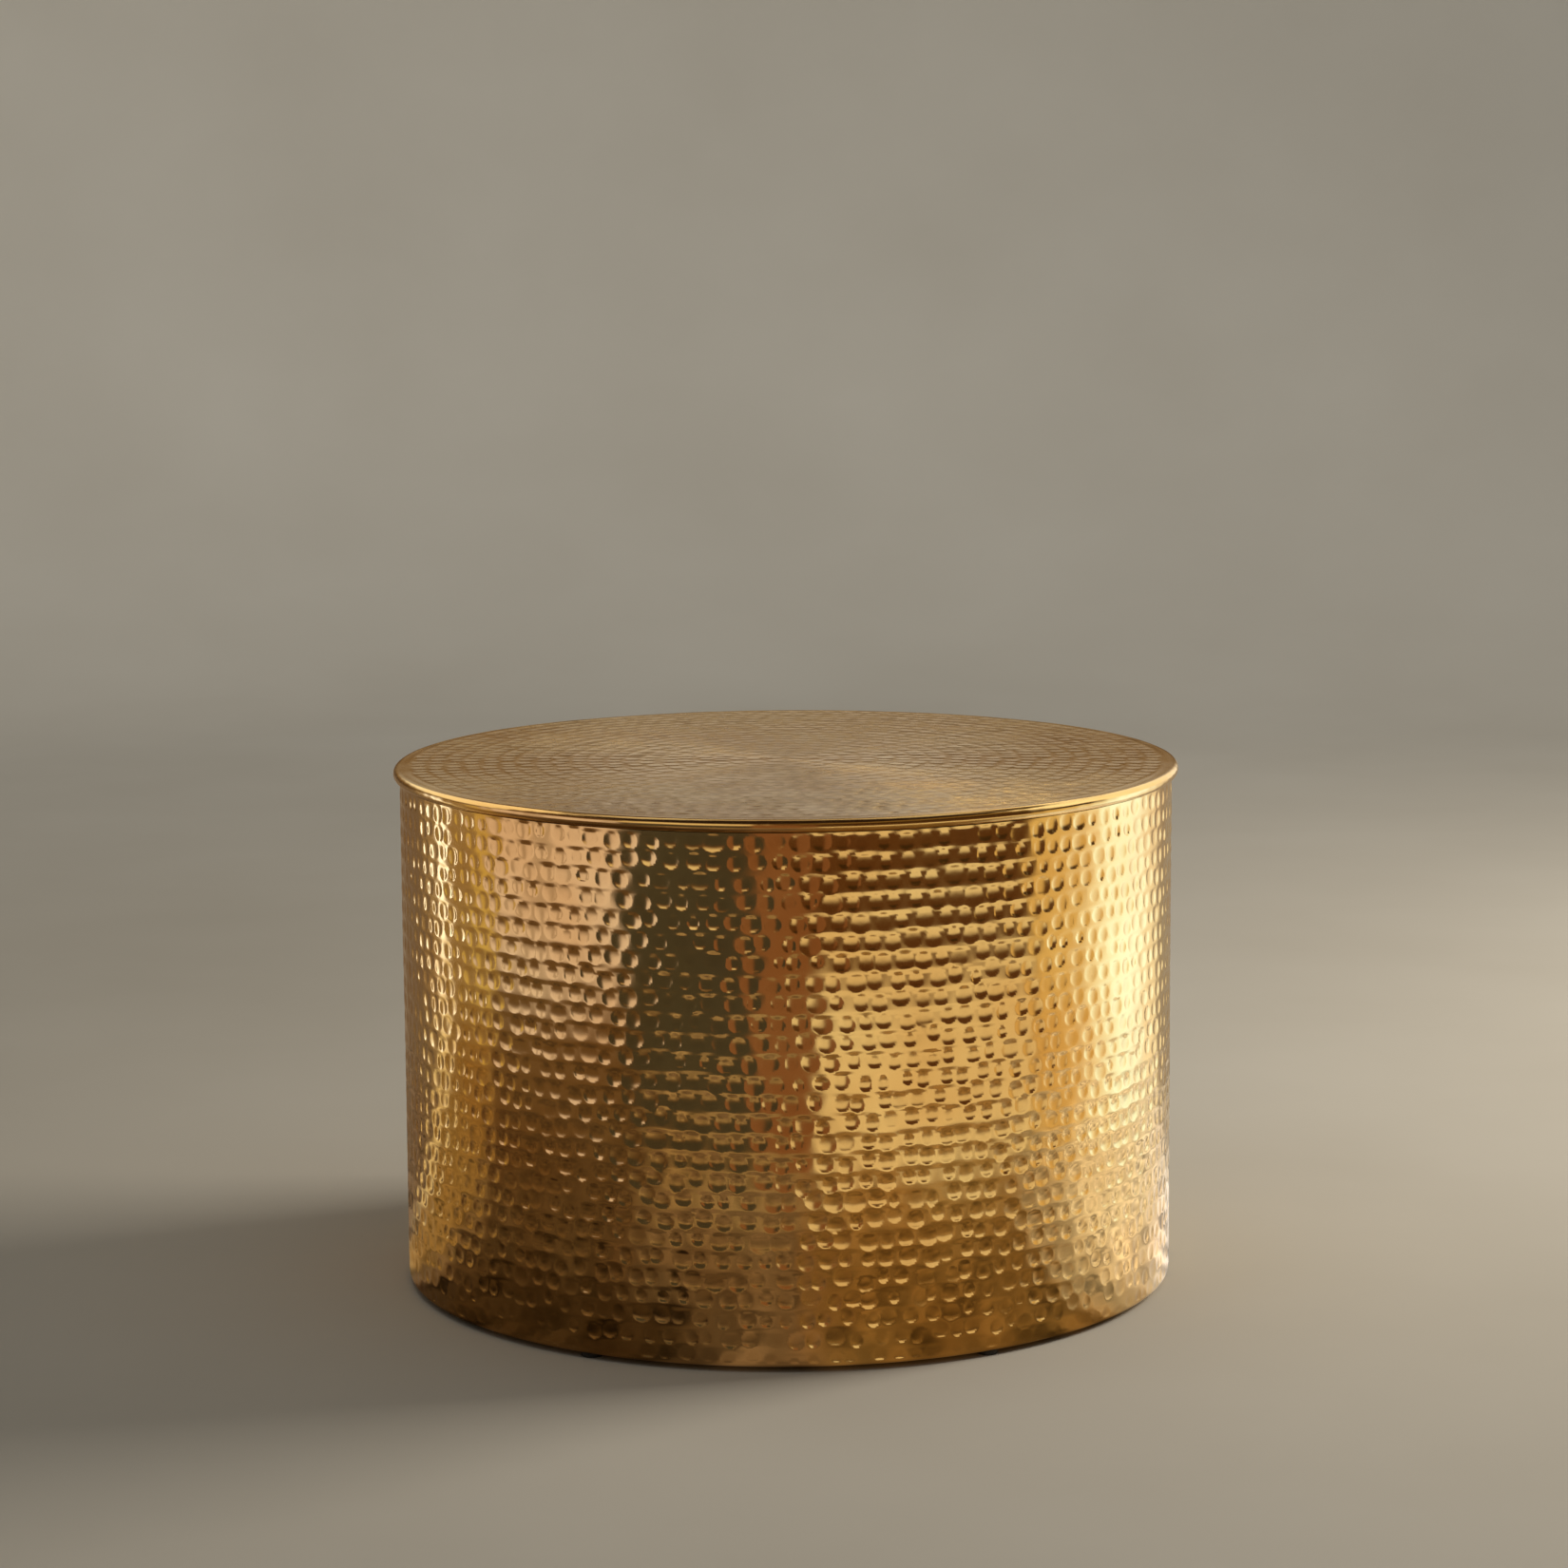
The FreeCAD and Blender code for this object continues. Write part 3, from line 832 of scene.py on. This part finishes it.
# %% Pale plaster
TROWEL_SIZE = 420
LIFT_FROM = 1.4
LIFT_TO = 4.3
LIFT = 0.34
material, tree, place = new_material("pale_plaster")
trowel = add(tree, "ShaderNodeTexNoise", {
    "Vector": place, "Scale": per_size(TROWEL_SIZE), "Detail": 5.0})
mottle = add(tree, "ShaderNodeMix", {
    0: trowel.outputs["Fac"], 6: linear("#BDB8AC"), 7: linear("#B0AA9D")}, data_type="RGBA")
plaster = add(tree, "ShaderNodeBsdfPrincipled", {
    "Base Color": mottle.outputs[2], "Roughness": 0.9, "Specular IOR Level": 0.0})
ray = add(tree, "ShaderNodeLightPath")
seen = add(tree, "ShaderNodeMath", {
    0: ray.outputs["Is Camera Ray"], 1: ray.outputs["Is Glossy Ray"]}, operation="ADD")
far = add(tree, "ShaderNodeVectorMath", {0: place}, operation="LENGTH")
lift_far = add(tree, "ShaderNodeMapRange", {
    "Value": far.outputs["Value"], "From Min": LIFT_FROM, "From Max": LIFT_TO,
    "To Min": 0.0, "To Max": LIFT})
lift = add(tree, "ShaderNodeMath", {
    0: seen.outputs["Value"], 1: lift_far.outputs["Result"]}, operation="MULTIPLY")
wall_glow = add(tree, "ShaderNodeEmission", {
    "Color": mottle.outputs[2], "Strength": lift.outputs["Value"]})
surface = add(tree, "ShaderNodeAddShader", {
    0: plaster.outputs["BSDF"], 1: wall_glow.outputs["Emission"]})
add(tree, "ShaderNodeOutputMaterial", {"Surface": surface.outputs["Shader"]})
ground.data.materials.append(material)
print(f"plaster lifted from {LIFT_FROM} m outwards")

# %% [markdown]
# A polished drum has no look of its own: it shows the room. Photographers of metalware therefore build
# a tent of cards round the piece, pale ones and dark ones, on the floor, standing, and overhead, just
# out of the picture. Here one round tent does the work of the cards. It is seen only in reflections,
# throws no light or shadow on anything, and its colour is a formula of direction and height: each card
# is a patch with soft edges, laid over the cards before it. Directions are degrees from the camera's
# side, positive towards the right, and a card that goes past 180 ends straight behind the table. Heights
# below zero are on the floor, counted inwards from the foot of the tent. There the tent hides the real
# floor from reflections, so the window's light and the drum's own shadow on the floor are painted into
# its colour.

# %% Cards
cards = [
    # from, to (degrees), lowest, highest (m), soft side (degrees), soft edge (m), colour, level
    # overhead, all round
    (-200, 200, 0.92, 9.0, 1, 0.05, "#84705A", 1.0),
    (-200, 200, 1.38, 1.75, 1, 0.10, "#4A3826", 1.0),
    (-200, 200, 1.95, 2.40, 1, 0.12, "#EADFCB", 1.0),
    # behind the table, for the lid
    (90, 200, 0.465, 0.92, 8, 0.02, "#7C5D32", 1.0),
    (-200, -82, 0.465, 0.92, 8, 0.02, "#7C5D32", 1.0),
    (90, 200, 0.57, 1.10, 8, 0.06, "#B1A696", 1.0),
    (-200, -82, 0.57, 1.10, 8, 0.06, "#ACA18F", 1.0),
    (168, 200, 0.56, 0.90, 6, 0.06, "#CBC3B7", 1.0),
    (-200, -168, 0.56, 0.90, 6, 0.06, "#CBC3B7", 1.0),
    (152, 200, 0.84, 1.45, 8, 0.05, "#5E4830", 1.0),
    (-200, -147, 0.82, 1.45, 5, 0.05, "#5A442D", 1.0),
    # high in front, high on both sides for the rim, and the light that draws the fan on the lid
    (-75, 75, 0.95, 9.0, 20, 0.10, "#2E2218", 1.0),
    (3, 70, 0.42, 0.95, 4, 0.05, "#43301A", 1.0),
    (3, 66, 0.72, 0.98, 4, 0.06, "#8A6C42", 1.0),
    (70, 112, 0.42, 1.25, 8, 0.06, "#FFF3D8", 1.5),
    (-141, -80, 0.64, 1.75, 5, 0.06, "#FFF0D2", 1.3),
    (100, 145, 0.30, 1.50, 6, 0.05, "#FFF3D8", 1.35),
    (148, 168, 0.98, 1.30, 4, 0.06, "#FFE9BC", 2.5),
    # left half of the drum, from its edge to the middle
    (-200, -114, -9.0, 0.46, 5, 0.02, "#7F6A54", 0.9),
    (-118, -80, -9.0, 0.46, 4, 0.02, "#A08660", 1.0),
    (-108.5, -104.5, 0.02, 0.46, 2, 0.10, "#EEF2FF", 3.2),
    # the floor on the left, darker with the drum's painted shadow
    (-200, -78, -9.0, 0.02, 6, 0.14, "#74604A", 1.0),
    (-102, -84, -9.0, 0.05, 4, 0.10, "#96784A", 1.0),
    (-109, -104.5, -0.50, 0.12, 2, 0.12, "#E8D2A0", 1.3),
    (-89, -83.5, 0.10, 0.46, 2, 0.06, "#DEC473", 1.0),
    (-82, -41, -0.1, 0.6, 3, 0.05, "#6E553B", 1.0),
    (-82, -41, 0.15, 0.6, 3, 0.06, "#EFDEE0", 1.0),
    (-69, -62, 0.15, 0.6, 2.5, 0.06, "#C4B3AE", 1.0),
    (-41, -7, 0.45, 0.8, 2, 0.08, "#F2DDB4", 1.0),
    (-41, -7, 0.01, 0.36, 2, 0.03, "#49443A", 1.0),
    # middle and right half of the drum
    (-8, 6, -0.15, 0.6, 1.5, 0.03, "#8A6044", 1.0),
    (7, 66, -0.05, 0.17, 2, 0.05, "#F4E4C0", 1.0),
    (66, 82, -0.30, 0.37, 4, 0.06, "#E8C98A", 1.05),
    (80, 128, -9.0, 0.46, 6, 0.02, "#FFF3D8", 1.12),
    (66, 89, 0.37, 0.62, 5, 0.05, "#4A341C", 1.0),
    (92, 113, -0.45, 0.46, 8, 0.06, "#DDF4FF", 1.9),
    (128, 200, -9.0, 0.36, 8, 0.02, "#A89A84", 1.0),
    # on the floor, as the drum mirrors it: the window's light painted on the right, and the drum's own
    # shadow painted to the left, with a dark painted contact shadow round its foot
    (-78, -32, -9.0, -0.02, 10, 0.08, "#5A4734", 1.0),
    (-34, 4, -9.0, 0.0, 6, 0.02, "#786350", 1.0),
    (-34, 4, -0.20, -0.02, 6, 0.05, "#A08968", 1.0),
    (8, 58, -9.0, -0.10, 8, 0.06, "#A2845A", 1.0),
    (8, 58, -9.0, -0.32, 8, 0.10, "#7C623E", 1.0),
    (58, 200, -9.0, -0.10, 6, 0.12, "#BDB09C", 1.0),
    (71, 124, -9.0, -0.10, 7, 0.12, "#F4ECE0", 1.1),
    (-74, -12, -9.0, -0.44, 12, 0.10, "#3A2B1C", 1.0),
    (-200, 200, -9.0, -0.66, 1, 0.02, "#1E1711", 1.0),
    # low behind the table, for the back of the drum and of the rim
    (150, 200, 0.35, 0.470, 5, 0.02, "#5A4632", 1.0),
    (-200, -118, 0.35, 0.470, 8, 0.02, "#5A4632", 1.0),
    (165, 200, 0.35, 0.470, 4, 0.02, "#2A1C10", 1.0),
    (-200, -165, 0.35, 0.470, 4, 0.02, "#2A1C10", 1.0),
    (148, 200, -9.0, 0.34, 14, 0.02, "#988770", 1.0),
    (-200, -148, -9.0, 0.34, 14, 0.02, "#988770", 1.0),
    (155, 200, -0.1, 0.3, 5, 0.06, "#EAD9B8", 1.0),
    (-200, -168, -0.1, 0.3, 4, 0.06, "#EAD9B8", 1.0),
    (-168, -152, -0.2, 0.33, 3, 0.03, "#6F4A30", 1.0),
]
BETWEEN_CARDS = "#604026"
print(len(cards), "cards")

# %% [markdown]
# The tent is a grid of directions and of places along its section, and every grid point takes the
# colour of the cards there. Floor and ceiling are then clouded, as no real floor or ceiling is even.

# %% Lay the cards on the tent
TENT_RADIUS = 0.95
TENT_EAVES = 1.25
TENT_PEAK = 0.45
FLOOR_CARD = 0.69
FLOOR_END = -0.01
ROOF_FROM, ROOF_TO = 0.05, 0.498 * math.pi
FLOOR_STEPS, WALL_STEPS, ROOF_STEPS, TURN_STEPS = 64, 126, 24, 481
CLOUD = 0.16
CLOUD_ROUND = np.array([7, 12, 19, 26, 34, 45])
CLOUD_SLANT = 60
EVEN_HEIGHT, EVEN_SOFT = 1.0, 0.05


def card_share(value, low, high, soft):
    """1 between low and high, 0 outside, with an S curve as wide as twice `soft` at both ends."""
    rising = smooth_step(value, low - soft, low + soft)
    return rising * (1 - smooth_step(value, high - soft, high + soft))


section_line = np.concatenate([
    np.linspace(-FLOOR_CARD, FLOOR_END, FLOOR_STEPS), np.linspace(0.0, TENT_EAVES, WALL_STEPS),
    TENT_EAVES + TENT_RADIUS * np.linspace(ROOF_FROM, ROOF_TO, ROOF_STEPS)])
card_turn, card_place = np.meshgrid(np.linspace(-180, 180, TURN_STEPS), section_line)
glow = np.empty((*card_turn.shape, 3))
glow[:] = linear(BETWEEN_CARDS)[:3]
for start, end, low, high, soft_side, soft_edge, colour, level_of_card in cards:
    share = card_share(card_turn, start, end, soft_side) * card_share(card_place, low, high, soft_edge)
    glow += share[..., None] * (np.array(linear(colour)[:3]) * level_of_card - glow)

turn_angle = np.radians(card_turn)
cloud_along = rng.uniform(-CLOUD_SLANT, CLOUD_SLANT, len(CLOUD_ROUND))
cloud_start = rng.uniform(0, 2 * np.pi, len(CLOUD_ROUND))
cloud_phase = turn_angle[..., None] * CLOUD_ROUND + card_place[..., None] * cloud_along + cloud_start
clouded = 1 - card_share(card_place, 0.0, EVEN_HEIGHT, EVEN_SOFT)
glow *= 1 + (CLOUD * clouded * np.cos(cloud_phase).sum(-1))[..., None]
print(f"{glow.shape[0]} by {glow.shape[1]} points, the brightest at {glow.max():.1f}")

# %% Hang the tent
FLOOR_GAP = 2 * MM


def tent_section(place):
    """Radius and height at a place along the tent's section: in over the floor below zero, straight up
    to the eaves, and above them a quarter of an ellipse to the peak."""
    turned = np.clip((place - TENT_EAVES) / TENT_RADIUS, 0, math.pi / 2)
    radius = (TENT_RADIUS + np.minimum(place, 0)) * np.cos(turned)
    height = np.clip(place, FLOOR_GAP, TENT_EAVES) + TENT_PEAK * np.sin(turned)
    return radius, height


tent_radius, tent_height = tent_section(card_place)
tent_points = np.stack([
    tent_radius * np.sin(turn_angle), -tent_radius * np.cos(turn_angle), tent_height], -1)
tent = make_piece("tent_of_cards", tent_points.reshape(-1, 3), grid_quads(*card_turn.shape))
tone = tent.data.attributes.new("glow", "FLOAT_COLOR", "POINT")
opaque = np.ones((*card_turn.shape, 1))
tones = np.concatenate([np.maximum(glow, 0), opaque], -1)
tone.data.foreach_set("color", tones.astype(np.float32).ravel())
tent.visible_camera = False
tent.visible_diffuse = False
tent.visible_shadow = False
tent.visible_transmission = False

material, tree, place = new_material("soft_cards")
material.cycles.emission_sampling = "NONE"
tone = add(tree, "ShaderNodeAttribute", attribute_name="glow")
card_light = add(tree, "ShaderNodeEmission", {"Color": tone.outputs["Color"], "Strength": 1.0})
add(tree, "ShaderNodeOutputMaterial", {"Surface": card_light.outputs["Emission"]})
tent.data.materials.append(material)
print("tent of radius", TENT_RADIUS, "m")

# %% [markdown]
# The light is a large soft window to the right and a little behind, which draws the shadow to the left,
# with the even light of a pale room from all round. Lamps aim with a matrix whose third column points
# away from the table.

# %% Light
WINDOW_PLACE, WINDOW_AIM = (2.3, 0.75, 1.65), (0.0, 0.0, 0.2)
WINDOW_SIZE, WINDOW_POWER = 1.1, 68.0
CEILING_PLACE, CEILING_AIM = (0.0, -0.3, 3.0), (0.0, 0.0, 0.0)
CEILING_SIZE, CEILING_POWER = 2.4, 12.0
ROOM_LEVEL = 0.24


def soft_window(name, place, aim, size, power, colour):
    """A square area lamp at a place, turned so that its face looks at the aim."""
    lamp = bpy.data.lights.new(name, "AREA")
    lamp.size = size
    lamp.energy = power
    lamp.color = linear(colour)[:3]
    away = unit(np.subtract(place, aim))
    side = unit(np.cross((0.0, 0.0, 1.0), away))
    matrix = np.eye(4)
    matrix[:3] = np.stack([side, np.cross(away, side), away, place], -1)
    holder = bpy.data.objects.new(name, lamp)
    holder.matrix_world = Matrix(matrix.tolist())
    holder.visible_camera = False
    holder.visible_glossy = False
    scene.collection.objects.link(holder)


soft_window("window_right", WINDOW_PLACE, WINDOW_AIM, WINDOW_SIZE, WINDOW_POWER, "#FFF6EA")
soft_window("ceiling_bounce", CEILING_PLACE, CEILING_AIM, CEILING_SIZE, CEILING_POWER, "#FFFAF2")
world = bpy.data.worlds.new("pale_room")
scene.world = world
world.use_nodes = True
world.node_tree.nodes.clear()
room = add(world.node_tree, "ShaderNodeBackground", {
    "Color": linear("#F4F2EE"), "Strength": ROOM_LEVEL})
add(world.node_tree, "ShaderNodeOutputWorld", {"Surface": room.outputs["Background"]})
print("one window, one ceiling, one pale room")
